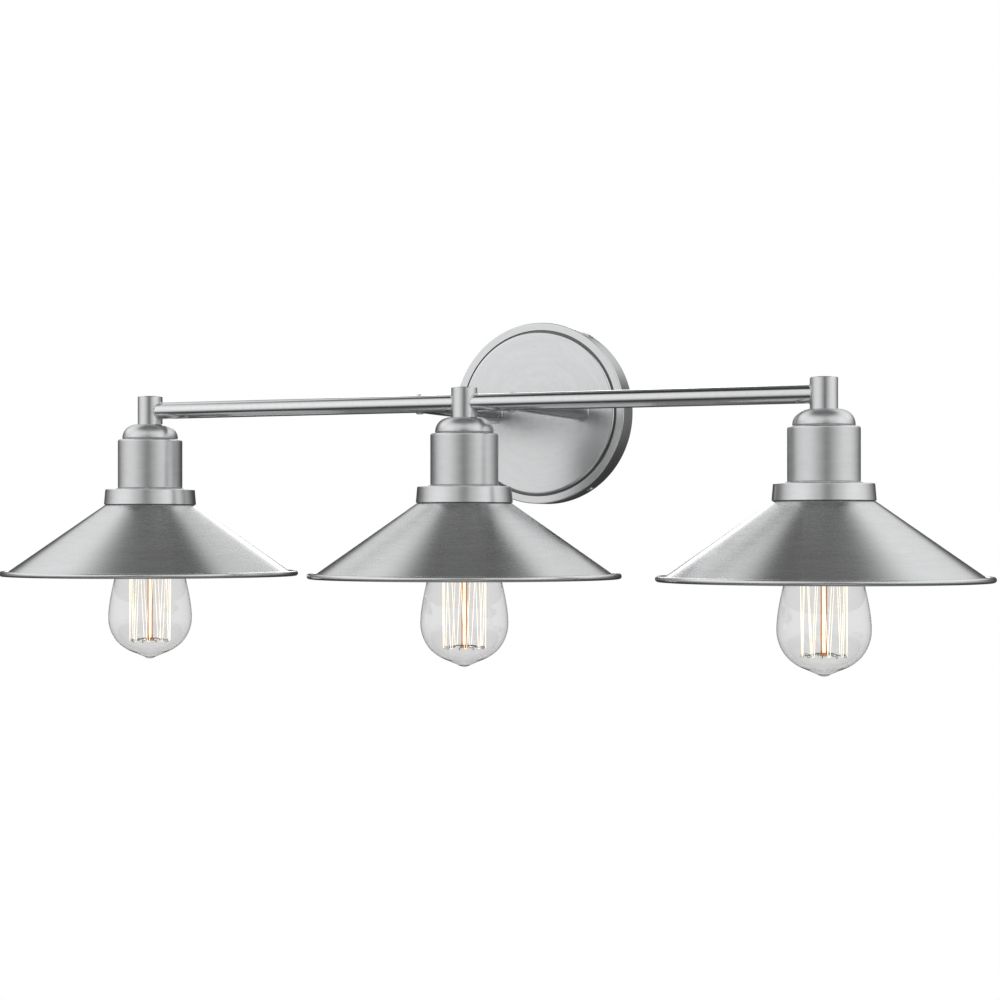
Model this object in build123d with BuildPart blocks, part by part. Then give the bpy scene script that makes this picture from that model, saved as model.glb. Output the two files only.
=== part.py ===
from build123d import *
import math
import os

# A wall light for over a mirror: three cone shades hang from stems on a horizontal rod, and two
# arms carry the rod from a round canopy. Millimetres, +Z up, +X to the right seen from the front,
# +Y into the wall. The origin is on the wall, at the middle of the mounting plate's back face.

os.makedirs("parts", exist_ok=True)

# ---------------------------------------------------------------- layout
lamp_spacing = 266.7  # between neighbouring lamps
reach = 165.1  # from the wall to the rod's axis
arm_spacing = 73.0  # between the two arms' axes

# ---------------------------------------------------------------- clearances
slip_fit = 0.10  # radial, pieces that slide together
braze_fit = 0.05  # radial, pieces brazed together
bulb_fit = 0.30  # radial, bulb base in its screw shell

# ---------------------------------------------------------------- rod, arms and stems
rod_diameter = 12.7
rod_wall = 1.2
rod_seat = 4.6  # a rod's end stands this far from the lamp's axis
arm_opening_inset = 0.55  # the opening through a rod's back stands in this far from its bore
blind_bore_depth = 5.0  # past the lamp's axis, in the two outer stems
stem_diameter = 19.05
stem_above_rod = 11.3
stem_below_rod = 10.5
stem_edge = 0.4
seat_ring_rim = 1.45  # radial, outside the arm
seat_ring_thickness = 1.6
seat_ring_edge = 0.5

# ---------------------------------------------------------------- threaded tubes and their nuts
nipple_diameter = 9.7
nipple_bore = 6.4
nipple_below_bore = 0.1  # from a stem's cross bore down to the nipple's end
nipple_nut_across_flats = 14.0
nipple_nut_thickness = 3.0
arm_nipple_wall = 0.7
arm_nipple_grip = 22.0  # length of nipple inside an arm
arm_nipple_tail = 3.0  # what stands out past the nut
arm_nut_rim = 2.9  # radial, from the nipple to the nut's flats
arm_nut_thickness = 3.5
arm_washer_width = 3.65
arm_washer_thickness = 1.0
arm_washer_split = 1.5

# ---------------------------------------------------------------- canopy and mounting plate
canopy_diameter = 143.0
canopy_depth = 21.0
canopy_wall = 1.2
canopy_ring_width = 7.5  # the flat ring round the raised disc
canopy_disc_rise = 2.5
canopy_edge = 0.8  # outer radius of the bent edges
canopy_disc_edge = 2.0
canopy_groove_edge = 0.3  # where the disc's side meets the ring
plate_gap = 0.4  # radial, plate's flange inside the canopy
plate_thickness = 1.5
plate_flange_depth = 11.0
plate_opening_diameter = 58.0
plate_slot_spacing = 88.9  # outlet box screws
plate_slot_width = 5.2
plate_slot_length = 12.0
side_screw_angles = (58.0, 122.0, 238.0, 302.0)
side_screw_distance = 6.0  # from the wall
side_screw_diameter = 4.0
side_screw_length = 6.5
side_screw_head_diameter = 5.6
side_screw_head_height = 0.6
ground_screw_place = (-32.0, 32.0)
ground_screw_diameter = 4.0
ground_screw_length = 5.0
ground_screw_head_diameter = 8.0
ground_screw_head_height = 2.2
slot_width = 0.9
slot_depth = 0.4

# ---------------------------------------------------------------- dome, cup and collar
dome_inset = 3.45  # radial, the dome inside the cup's side
dome_height = 11.0
dome_side = 0.4  # straight stretch under the round shoulder
dome_wall = 1.2
dome_foot_inset = 1.0
dome_foot_height = 0.7
cup_diameter = 49.5
cup_height = 37.8
cup_wall = 1.2
cup_edge = 1.6
cup_neck_inset = 0.6  # the groove over the cup's foot
cup_neck_height = 0.4
cup_foot_rim = 1.25  # radial, outside the cup
cup_foot_thickness = 0.8
cup_heel_edge = 0.3
cup_foot_edge = 0.2
collar_top_diameter = 68.6
collar_bottom_diameter = 70.6
collar_height = 11.7
collar_wall = 1.2
collar_edge = 0.9

# ---------------------------------------------------------------- shade
shade_diameter = 228.6
shade_wall = 1.0
shade_neck_diameter = 65.2
shade_neck_edge = 1.5
shade_neck_bend = 0.6  # where the neck turns out into the cone
shade_seat_gap = 0.1  # between the cone and the collar's edge
cone_drop = 51.6
lip_width = 4.8  # radial, from the cone's end to the bead's middle
lip_drop = 1.6
lip_bend = 3.0
bead_diameter = 4.0

# ---------------------------------------------------------------- socket
socket_gap = 0.5  # radial, socket through collar and shade
socket_shoulder_width = 3.4  # radial, what the socket's shoulder stands out from its body
socket_top_below_nut = 3.6
socket_cap_diameter = 37.0
socket_cap_height = 10.0
socket_cap_wall = 3.0
socket_cap_edge = 2.0
socket_shoulder_gap = 0.35  # radial, inside the cup
socket_shoulder_height = 2.4
socket_shoulder_edge = 0.6
socket_length = 37.4
socket_mouth_edge = 1.0
shell_wall = 0.5
shell_depth = 27.0
shell_inset = 1.0  # the shell's edge stands this far inside the body's mouth
shell_edge = 0.2
shell_hole_diameter = 13.0
contact_width = 4.0
contact_thickness = 0.5
contact_drop = 1.3
contact_root = 4.5  # the tongue's fixed end, from the socket's axis
contact_reach = 4.0  # its free end, past the axis
contact_bend = 1.5  # both bends stand this far from the axis
contact_lean = 0.3  # the lower side's bends lie this much to the left
contact_peg_diameter = 2.0
contact_gap = 0.3  # between the tongue and the bulb's tip
terminal_offset = 9.5
terminal_head_diameter = 5.6
terminal_head_height = 2.0
terminal_shank_diameter = 3.0
terminal_shank_length = 2.6
shade_ring_diameter = 54.0
shade_ring_thickness = 5.0
shade_ring_notches = 12
shade_ring_notch = 2.2

# ---------------------------------------------------------------- bulb
bulb_length = 140.0
bulb_diameter = 64.0
bulb_glass_wall = 0.8
bulb_widest_above_tip = 31.6
bulb_neck_diameter = 25.6
pip_diameter = 7.2
pip_height = 1.6
neck_bend_below_base = 1.0  # the glass runs straight this far under its base
neck_flare = (0.29, 0.29)  # share of the way out and down, at the neck's flare
neck_side = (0.77, 0.625)  # the same, on the long side
base_length = 27.5
base_crest_diameter = 26.2
base_root_diameter = 24.8
base_pitch = 3.629
base_turns = 5
base_skirt_diameter = 26.6
base_skirt_length = 5.0
base_wall = 0.4
base_lead = 1.0  # plain ends of the base, above its thread and on its skirt
base_top_inset = 0.6  # the base's end is this much narrower than the thread's root
insulator_height = 3.4
tip_contact_diameter = 9.0
tip_contact_height = 1.0
insulator_lip = 0.8  # how far it reaches into the base
insulator_gap = 0.2  # radial, inside the base's end
mount_stem_diameter = 7.0
mount_top_below_skirt = 2.0
mount_length = 24.0
mount_flare_thickness = 1.0
mount_flare_slope = 1.5
mount_flare_bend = 2.0
mount_end_edge = 1.5
mount_seal = 0.02  # radial, inside the glass
cage_strands = 18
strand_diameter = 0.5
cage_top_diameter = 32.4
cage_bottom_diameter = 31.4
cage_bottom_above_tip = 14.0
cage_height = 75.0
cage_lean = 0.7  # share of half a pitch that a strand's ends turn by
support_rod_diameter = 1.4
support_rod_spacing = 2.6
hub_diameter = 5.0
hub_height = 2.4
hub_overlap = 0.5  # length of rod inside the hub
top_spokes_drop = 2.0  # below the glass stem's end
hook_diameter = 0.5

# ---------------------------------------------------------------- wiring
wire_diameter = 1.8
wire_lane = 1.2  # half the gap between a lamp's two wires
middle_wire_rise = 3.0  # the middle lamp's wires lie over the left lamp's
wire_turn_height = -16.0  # where a wire turns down to its nut
wire_turn_step = 2.0
terminal_reach = 5.0  # of lanes, from the socket's axis to a wire's end on its terminal
wire_bend = 3.4
wire_end_bend = 1.2
wire_over_terminal = 0.1
wire_end_rise = 3.0  # from a wire's end on its terminal to its straight run up
wire_slot = 1.9  # between neighbouring wires in a nut
wire_end_in_nut = 1.0  # from a wire's end to the nut's floor
wire_arm_bend = 4.0
wire_nut_diameter = 11.0
wire_nut_length = 20.0
wire_nut_bore = 7.4
wire_nut_depth = 10.0
wire_nut_taper = 5  # degrees
wire_nut_offset = 13.0
wire_nut_top = -30.0
line_wire_distance = 8.0  # from the wall, where the wires run to the nuts
neutral_wire_distance = 12.0

# ---------------------------------------------------------------- derived sizes
lamps = {"left": -lamp_spacing, "middle": 0.0, "right": lamp_spacing}
arms = {"left": -arm_spacing / 2, "right": arm_spacing / 2}
rod_radius = rod_diameter / 2
rod_bore_radius = rod_radius - rod_wall
arm_opening_radius = rod_bore_radius - arm_opening_inset
arm_nipple_radius = rod_bore_radius - braze_fit
seat_ring_radius = rod_radius + seat_ring_rim
canopy_disc_radius = canopy_diameter / 2 - canopy_ring_width
canopy_face = canopy_depth + canopy_disc_rise
arm_back = canopy_face + seat_ring_thickness
plate_radius = canopy_diameter / 2 - canopy_wall - plate_gap
shoulder_radius = cup_diameter / 2 - cup_wall - socket_shoulder_gap
socket_radius = shoulder_radius - socket_shoulder_width
rim_radius = shade_diameter / 2 - bead_diameter / 2
cone_end_radius = rim_radius - lip_width

stem_bottom = -stem_below_rod
dome_bottom = stem_bottom - dome_height
cup_top = dome_bottom - dome_foot_height
cup_bottom = cup_top - cup_height
collar_top = cup_bottom - cup_foot_thickness
collar_bottom = collar_top - collar_height
shade_top = collar_top - collar_wall
cone_slope = cone_drop / (cone_end_radius - collar_bottom_diameter / 2 + collar_wall)
cone_top = collar_bottom - shade_seat_gap
cone_bottom = cone_top - cone_drop
bead_height = cone_bottom - lip_drop

nut_bottom = cup_top - cup_wall - nipple_nut_thickness
socket_top = nut_bottom - socket_top_below_nut
socket_mouth = socket_top - socket_cap_height - socket_length
shell_mouth = socket_mouth + shell_inset
shell_top = shell_mouth + shell_depth
bulb_top = shell_top - shell_wall - contact_drop - contact_thickness - contact_gap
bulb_tip = bulb_top - bulb_length
base_bottom = bulb_top - base_length
skirt_top = base_bottom + base_skirt_length
shell_inner_radius = base_skirt_diameter / 2 + bulb_fit
socket_bore_radius = shell_inner_radius + shell_wall + slip_fit


def save(piece, name):
    piece.part.label = name
    export_step(piece.part, f"parts/{name}.step")


def lamp_section(x):
    """The upright plane through a lamp's axis: across is the radius, up is Z."""
    return Plane(origin=(x, -reach, 0), x_dir=(1, 0, 0), z_dir=(0, -1, 0))


def lamp_axis(x):
    return Axis((x, -reach, 0), (0, 0, 1))


def level(x, z):
    """The level plane across a lamp's axis at height z."""
    return Plane(origin=(x, -reach, z))


def across_arm(x, distance):
    """The upright plane across an arm's axis, facing the room, at a distance from the wall."""
    return Plane(origin=(x, -distance, 0), x_dir=(1, 0, 0), z_dir=(0, -1, 0))


# ================================================================ wall side


def canopy():
    """A spun cup with a raised disc on its face, open to the wall."""
    r = canopy_diameter / 2
    disc = canopy_disc_radius
    w = canopy_wall
    with BuildPart() as shell:
        with BuildSketch(Plane.XY):
            with BuildLine():
                FilletPolyline(
                    (r, 0),
                    (r, -canopy_depth),
                    (disc, -canopy_depth),
                    (disc, -canopy_face),
                    (0, -canopy_face),
                    (0, -canopy_face + w),
                    (disc - w, -canopy_face + w),
                    (disc - w, -canopy_depth + w),
                    (r - w, -canopy_depth + w),
                    (r - w, 0),
                    radius=[
                        0,
                        canopy_edge,
                        canopy_groove_edge,
                        canopy_disc_edge,
                        0,
                        0,
                        canopy_disc_edge - w,
                        0,
                        0,
                        0,
                    ],
                    close=True,
                )
            make_face()
        revolve(axis=Axis.Y)
        with BuildSketch(Plane.XZ.offset(canopy_face)):
            with Locations(*[(x, 0) for x in arms.values()]):
                Circle(arm_nipple_radius + slip_fit)
        extrude(amount=-canopy_disc_rise - canopy_wall, mode=Mode.SUBTRACT)
        for angle in side_screw_angles:
            with BuildSketch(side_plane(angle, r - 2 * w)):
                Circle(side_screw_diameter / 2 + slip_fit)
            extrude(amount=3 * w, mode=Mode.SUBTRACT)
    save(shell, "canopy")


def side_plane(angle, radius):
    """The plane that faces outwards from the canopy's axis, over one side screw."""
    out = (math.cos(math.radians(angle)), 0, math.sin(math.radians(angle)))
    return Plane(
        origin=(out[0] * radius, -side_screw_distance, out[2] * radius),
        x_dir=(0, 1, 0),
        z_dir=out,
    )


def mounting_plate():
    """A pan with a flange that the canopy slides over, slotted for the outlet box screws."""
    with BuildPart() as plate:
        with BuildSketch(Plane.XZ):
            Circle(plate_radius)
            Circle(plate_opening_diameter / 2, mode=Mode.SUBTRACT)
            with Locations((0, plate_slot_spacing / 2), (0, -plate_slot_spacing / 2)):
                SlotOverall(plate_slot_length, plate_slot_width, rotation=90, mode=Mode.SUBTRACT)
            with Locations(ground_screw_place):
                Circle(ground_screw_diameter / 2, mode=Mode.SUBTRACT)
        extrude(amount=plate_thickness)
        with BuildSketch(Plane.XZ):
            Circle(plate_radius)
            Circle(plate_radius - plate_thickness, mode=Mode.SUBTRACT)
        extrude(amount=plate_flange_depth)
        for angle in side_screw_angles:
            with BuildSketch(side_plane(angle, plate_radius - 2 * plate_thickness)):
                Circle(side_screw_diameter / 2)
            extrude(amount=3 * plate_thickness, mode=Mode.SUBTRACT)
    save(plate, "mounting_plate")


def canopy_screws():
    """Four low-headed slotted screws through the canopy's side into the plate's flange."""
    seat = canopy_diameter / 2
    with BuildPart() as screws:
        for angle in side_screw_angles:
            with BuildSketch(side_plane(angle, seat - side_screw_length)):
                Circle(side_screw_diameter / 2)
            extrude(amount=side_screw_length)
            with BuildSketch(side_plane(angle, seat)):
                Circle(side_screw_head_diameter / 2)
            extrude(amount=side_screw_head_height)
            with BuildSketch(side_plane(angle, seat + side_screw_head_height - slot_depth)):
                Rectangle(side_screw_head_diameter, slot_width)
            extrude(amount=slot_depth, mode=Mode.SUBTRACT)
    save(screws, "canopy_screws")


def ground_screw():
    """The green slotted screw on the mounting plate that takes the earth wire."""
    front = plate_thickness + ground_screw_head_height
    with BuildPart() as screw:
        with BuildSketch(Plane.XZ):
            with Locations(ground_screw_place):
                Circle(ground_screw_diameter / 2)
        extrude(amount=ground_screw_length)
        with BuildSketch(Plane.XZ.offset(plate_thickness)):
            with Locations(ground_screw_place):
                Circle(ground_screw_head_diameter / 2)
        extrude(amount=ground_screw_head_height)
        with BuildSketch(Plane.XZ.offset(front)):
            with Locations(ground_screw_place):
                Circle(ground_screw_head_diameter / 2)
        extrude(amount=ground_screw_length, mode=Mode.SUBTRACT)
        with BuildSketch(Plane.XZ.offset(front - slot_depth)):
            with Locations(ground_screw_place):
                Rectangle(ground_screw_head_diameter, slot_width)
        extrude(amount=slot_depth, mode=Mode.SUBTRACT)
    save(screw, "ground_screw")


# ================================================================ arms and rods


def arm(name, x):
    """A straight tube from the seat ring to the rod, coped to the rod's round back."""
    with BuildPart() as tube:
        with BuildSketch(across_arm(x, arm_back)):
            Circle(rod_radius)
            Circle(rod_bore_radius, mode=Mode.SUBTRACT)
        extrude(amount=reach - arm_back)
        with BuildSketch(Plane(origin=(x - rod_diameter, -reach, 0), z_dir=(1, 0, 0))):
            Circle(rod_radius + braze_fit)
        extrude(amount=2 * rod_diameter, mode=Mode.SUBTRACT)
    save(tube, f"arm_{name}")


def arm_seat_rings():
    """The thin rings between the arms and the canopy's face."""
    with BuildPart() as rings:
        for x in arms.values():
            with BuildSketch(across_arm(x, canopy_face)):
                Circle(seat_ring_radius)
                Circle(arm_nipple_radius + slip_fit, mode=Mode.SUBTRACT)
            extrude(amount=seat_ring_thickness)
        fronts = rings.faces().filter_by(Axis.Y).group_by(Axis.Y)[0]
        outer = fronts.edges().filter_by(lambda edge: edge.radius > rod_radius)
        fillet(outer, seat_ring_edge)
    save(rings, "arm_seat_rings")


def arm_nipples():
    """Threaded tubes brazed into the arms' ends; they pass through the canopy."""
    length = arm_nipple_grip + seat_ring_thickness + canopy_wall
    length += arm_washer_thickness + arm_nut_thickness + arm_nipple_tail
    with BuildPart() as nipples:
        for x in arms.values():
            with BuildSketch(across_arm(x, arm_back + arm_nipple_grip)):
                Circle(arm_nipple_radius)
                Circle(arm_nipple_radius - arm_nipple_wall, mode=Mode.SUBTRACT)
            extrude(amount=-length)
    save(nipples, "arm_nipples")


def arm_lock_washers():
    """Split washers under the nuts, inside the canopy."""
    outer = arm_nipple_radius + arm_washer_width
    with BuildPart() as washers:
        for x in arms.values():
            with BuildSketch(across_arm(x, canopy_face - canopy_wall)):
                Circle(outer)
                Circle(arm_nipple_radius + slip_fit, mode=Mode.SUBTRACT)
                with Locations((0, outer)):
                    Rectangle(arm_washer_split, 2 * outer, mode=Mode.SUBTRACT)
            extrude(amount=-arm_washer_thickness)
    save(washers, "arm_lock_washers")


def arm_nuts():
    """Hexagon nuts that hold the arms to the canopy."""
    with BuildPart() as nuts:
        for x in arms.values():
            with BuildSketch(across_arm(x, canopy_face - canopy_wall - arm_washer_thickness)):
                RegularPolygon(arm_nipple_radius + arm_nut_rim, 6, major_radius=False)
                Circle(arm_nipple_radius + braze_fit, mode=Mode.SUBTRACT)
            extrude(amount=-arm_nut_thickness)
    save(nuts, "arm_nuts")


def rod(name, x_from, x_to, arm_x):
    """A tube between two stems, with an opening in its back into the arm."""
    with BuildPart() as tube:
        with BuildSketch(Plane(origin=(x_from, -reach, 0), z_dir=(1, 0, 0))):
            Circle(rod_radius)
            Circle(rod_bore_radius, mode=Mode.SUBTRACT)
        extrude(amount=x_to - x_from)
        with BuildSketch(across_arm(arm_x, reach)):
            Circle(arm_opening_radius)
        extrude(amount=-rod_diameter, mode=Mode.SUBTRACT)
    save(tube, f"rod_{name}")


# ================================================================ lamp bodies


def turned(x, points, radii):
    """A piece of revolution about a lamp's axis, from its section's corners and their radii."""
    with BuildPart() as piece:
        with BuildSketch(lamp_section(x)):
            with BuildLine():
                FilletPolyline(*points, radius=radii, close=True)
            make_face()
        revolve(axis=lamp_axis(x))
    return piece


def stem(name, x):
    """A turned stub, cross-bored for the rods and tapped from below for the nipple."""
    sides = {"left": (1,), "middle": (1, -1), "right": (-1,)}[name]
    with BuildPart() as stub:
        with BuildSketch(level(x, stem_bottom)):
            Circle(stem_diameter / 2)
        extrude(amount=stem_below_rod + stem_above_rod)
        chamfer(stub.faces().sort_by(Axis.Z)[-1].edges(), stem_edge)
        for side in sides:
            bore_start = x - side * blind_bore_depth
            with BuildSketch(Plane(origin=(bore_start, -reach, 0), z_dir=(side, 0, 0))):
                Circle(rod_radius + braze_fit)
            extrude(amount=stem_diameter, mode=Mode.SUBTRACT)
        with BuildSketch(level(x, stem_bottom)):
            Circle(nipple_diameter / 2 + braze_fit)
        extrude(amount=stem_below_rod, mode=Mode.SUBTRACT)
    save(stub, f"stem_{name}")


def dome(name, x):
    """A spun cap with a wide round shoulder, under the stem."""
    r = cup_diameter / 2 - dome_inset
    w = dome_wall
    hole = nipple_diameter / 2 + slip_fit
    foot = r - dome_foot_inset
    points = [
        (hole, stem_bottom),
        (r, stem_bottom),
        (r, dome_bottom),
        (foot, dome_bottom),
        (foot, cup_top),
        (foot - w, cup_top),
        (foot - w, stem_bottom - w),
        (hole, stem_bottom - w),
    ]
    shoulder = dome_height - dome_side
    cap = turned(x, points, [0, shoulder, 0, 0, 0, 0, shoulder - w, 0])
    save(cap, f"dome_cap_{name}")


def cup(name, x):
    """The cylinder over the socket, open below, with a thin turned foot."""
    r = cup_diameter / 2
    w = cup_wall
    hole = nipple_diameter / 2 + slip_fit
    neck = r - cup_neck_inset
    foot = r + cup_foot_rim
    points = [
        (hole, cup_top),
        (r, cup_top),
        (r, cup_bottom + cup_neck_height),
        (neck, cup_bottom + cup_neck_height),
        (neck, cup_bottom),
        (foot, cup_bottom),
        (foot, collar_top),
        (r - w, collar_top),
        (r - w, cup_top - w),
        (hole, cup_top - w),
    ]
    edge = cup_foot_edge
    body = turned(x, points, [0, cup_edge, cup_heel_edge, 0, 0, edge, edge, 0, cup_edge - w, 0])
    save(body, f"socket_cup_{name}")


def collar(name, x):
    """A shallow cap, a little wider below, that covers the shade's neck."""
    top = collar_top_diameter / 2
    bottom = collar_bottom_diameter / 2
    w = collar_wall
    hole = socket_radius + socket_gap
    points = [
        (hole, collar_top),
        (top, collar_top),
        (bottom, collar_bottom),
        (bottom - w, collar_bottom),
        (top - w, collar_top - w),
        (hole, collar_top - w),
    ]
    cap = turned(x, points, [0, collar_edge, 0, 0, 0, 0])
    save(cap, f"shade_collar_{name}")


def shade(name, x):
    """A spun cone with a neck, a short flat lip and a rim rolled into a bead."""
    hole = socket_radius + socket_gap
    neck = shade_neck_diameter / 2
    w = shade_wall
    rim = rim_radius
    touch = collar_bottom_diameter / 2 - collar_wall
    end = cone_end_radius
    neck_foot = cone_top + (touch - neck) * cone_slope
    under = w * math.sqrt(1 + cone_slope**2)
    lean = w * (math.sqrt(1 + cone_slope**2) - cone_slope)
    points = [
        (hole, shade_top),
        (neck, shade_top),
        (neck, neck_foot),
        (end, cone_bottom),
        (rim, bead_height),
        (rim, bead_height - w),
        (end - lean, cone_bottom - w),
        (neck - w, neck_foot - under + w * cone_slope),
        (neck - w, shade_top - w),
        (hole, shade_top - w),
    ]
    with BuildPart() as cone:
        with BuildSketch(lamp_section(x)):
            with BuildLine():
                FilletPolyline(
                    *points,
                    radius=[
                        0,
                        shade_neck_edge,
                        shade_neck_bend,
                        lip_bend,
                        0,
                        0,
                        lip_bend,
                        shade_neck_bend,
                        shade_neck_edge - w,
                        0,
                    ],
                    close=True,
                )
            make_face()
            with Locations((rim, bead_height)):
                Circle(bead_diameter / 2)
        revolve(axis=lamp_axis(x))
    save(cone, f"shade_{name}")


# ================================================================ sockets


def nipples():
    """Threaded tubes that join stem, dome, cup and socket cap."""
    top = -rod_radius - braze_fit - nipple_below_bore
    with BuildPart() as tubes:
        for x in lamps.values():
            with BuildSketch(level(x, top)):
                Circle(nipple_diameter / 2)
                Circle(nipple_bore / 2, mode=Mode.SUBTRACT)
            extrude(amount=socket_top - socket_cap_wall - top)
    save(tubes, "stem_nipples")


def nipple_nuts():
    """Hexagon nuts inside the cups."""
    with BuildPart() as nuts:
        for x in lamps.values():
            with BuildSketch(level(x, nut_bottom)):
                RegularPolygon(nipple_nut_across_flats / 2, 6, major_radius=False)
                Circle(nipple_diameter / 2 + braze_fit, mode=Mode.SUBTRACT)
            extrude(amount=nipple_nut_thickness)
    save(nuts, "nipple_nuts")


def socket_caps():
    """Caps screwed on the nipples; they close the sockets' terminal chambers."""
    r = socket_cap_diameter / 2
    w = socket_cap_wall
    hole = nipple_diameter / 2 + braze_fit
    with BuildPart() as caps:
        for x in lamps.values():
            with BuildSketch(lamp_section(x)):
                with BuildLine():
                    FilletPolyline(
                        (hole, socket_top),
                        (r, socket_top),
                        (r, socket_top - socket_cap_height),
                        (r - w, socket_top - socket_cap_height),
                        (r - w, socket_top - w),
                        (hole, socket_top - w),
                        radius=[0, socket_cap_edge, 0, 0, 0, 0],
                        close=True,
                    )
                make_face()
            revolve(axis=lamp_axis(x))
    save(caps, "socket_caps")


def socket_body(name, x):
    """The porcelain body: terminal floor above, bore for the screw shell below."""
    r = socket_radius
    top = socket_top - socket_cap_height
    shoulder = collar_top + socket_shoulder_height
    points = [
        (terminal_shank_diameter / 2, top),
        (socket_cap_diameter / 2, top),
        (socket_cap_diameter / 2, shoulder),
        (shoulder_radius, shoulder),
        (shoulder_radius, collar_top),
        (r, collar_top),
        (r, socket_mouth),
        (socket_bore_radius, socket_mouth),
        (socket_bore_radius, shell_top),
        (terminal_shank_diameter / 2, shell_top),
    ]
    edge = min(socket_shoulder_edge, (shoulder_radius - socket_cap_diameter / 2) / 2)
    radii = [0, 0, 0, edge, 0, 0, socket_mouth_edge, 0, 0, 0]
    with BuildPart() as body:
        with BuildSketch(lamp_section(x)):
            with BuildLine():
                FilletPolyline(*points, radius=radii, close=True)
            make_face()
        revolve(axis=lamp_axis(x))
        with BuildSketch(level(x, top)):
            with Locations((terminal_offset, 0), (-terminal_offset, 0)):
                Circle(terminal_shank_diameter / 2)
        extrude(amount=-terminal_shank_length, mode=Mode.SUBTRACT)
    save(body, f"socket_body_{name}")


def screw_shell(name, x):
    """The thin metal cup that the bulb's base screws into."""
    r = shell_inner_radius
    w = shell_wall
    hole = shell_hole_diameter / 2
    points = [
        (hole, shell_top),
        (r + w, shell_top),
        (r + w, shell_mouth),
        (r, shell_mouth),
        (r, shell_top - w),
        (hole, shell_top - w),
    ]
    save(turned(x, points, [0, 0, shell_edge, shell_edge, 0, 0]), f"screw_shell_{name}")


def socket_contacts():
    """Brass tongues that press on the bulbs' tips."""
    top = shell_top
    low = shell_top - contact_drop - shell_wall
    t = contact_thickness
    with BuildPart() as tongues:
        for x in lamps.values():
            with BuildSketch(lamp_section(x)):
                with BuildLine():
                    Polyline(
                        (-contact_root, top),
                        (-contact_bend, top),
                        (contact_bend, low),
                        (contact_reach, low),
                        (contact_reach, low - t),
                        (contact_bend - contact_lean, low - t),
                        (-contact_bend - contact_lean, top - t),
                        (-contact_root, top - t),
                        close=True,
                    )
                make_face()
            extrude(amount=contact_width / 2, both=True)
            with BuildSketch(level(x - (contact_root + contact_bend) / 2, top)):
                Circle(contact_peg_diameter / 2)
            extrude(amount=-t)
    save(tongues, "socket_contacts")


def terminal_screws():
    """Two binding screws on each socket's terminal floor."""
    floor = socket_top - socket_cap_height
    with BuildPart() as screws:
        for x in lamps.values():
            for side in (1, -1):
                spot = x + side * terminal_offset
                with BuildSketch(level(spot, floor - terminal_shank_length)):
                    Circle(terminal_shank_diameter / 2)
                extrude(amount=terminal_shank_length)
                with BuildSketch(level(spot, floor)):
                    Circle(terminal_head_diameter / 2)
                extrude(amount=terminal_head_height)
                with BuildSketch(level(spot, floor + terminal_head_height - slot_depth)):
                    Rectangle(terminal_head_diameter, slot_width)
                extrude(amount=slot_depth, mode=Mode.SUBTRACT)
    save(screws, "terminal_screws")


def shade_rings():
    """Notched rings on the sockets' outer threads; they clamp shade and collar to the cup."""
    top = shade_top - shade_wall
    with BuildPart() as rings:
        for x in lamps.values():
            with BuildSketch(level(x, top)):
                Circle(shade_ring_diameter / 2)
                Circle(socket_radius + slip_fit, mode=Mode.SUBTRACT)
                with PolarLocations(shade_ring_diameter / 2, shade_ring_notches):
                    Circle(shade_ring_notch, mode=Mode.SUBTRACT)
            extrude(amount=-shade_ring_thickness)
    save(rings, "shade_rings")


# ================================================================ bulbs


def bulb_outline(inset):
    """Radii and heights down the glass, from its neck to its widest ring, set in by a wall."""
    widest = bulb_tip + bulb_widest_above_tip
    neck = bulb_neck_diameter / 2
    r = bulb_diameter / 2
    bend = base_bottom - neck_bend_below_base
    return [
        (neck + out * (r - neck) - inset, bend - down * (bend - widest))
        for out, down in ((0, 0), neck_flare, neck_side, (1, 1))
    ]


def bulb_glass(name, x):
    """A clear teardrop envelope, with the pip where it was sealed at its lowest point."""
    outer = bulb_outline(0)
    inner = bulb_outline(bulb_glass_wall)
    down = (0, -1)
    neck_top = skirt_top - mount_top_below_skirt
    pip = pip_diameter / 2
    pip_top = bulb_tip + pip_height
    with BuildPart() as glass:
        with BuildSketch(lamp_section(x)):
            with BuildLine():
                Line((inner[0][0], neck_top), (outer[0][0], neck_top))
                Line((outer[0][0], neck_top), outer[0])
                Spline(*outer, tangents=(down, down))
                Spline(outer[-1], (pip, pip_top), tangents=(down, (-1, -0.1)))
                Spline((pip, pip_top), (0, bulb_tip), tangents=((-0.6, -1), (-1, 0)))
                Line((0, bulb_tip), (0, pip_top + bulb_glass_wall))
                Spline((0, pip_top + bulb_glass_wall), inner[-1], tangents=((1, 0), (0, 1)))
                Spline(*reversed(inner), tangents=((0, 1), (0, 1)))
                Line(inner[0], (inner[0][0], neck_top))
            make_face()
        revolve(axis=lamp_axis(x))
    save(glass, f"bulb_glass_{name}")


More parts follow.
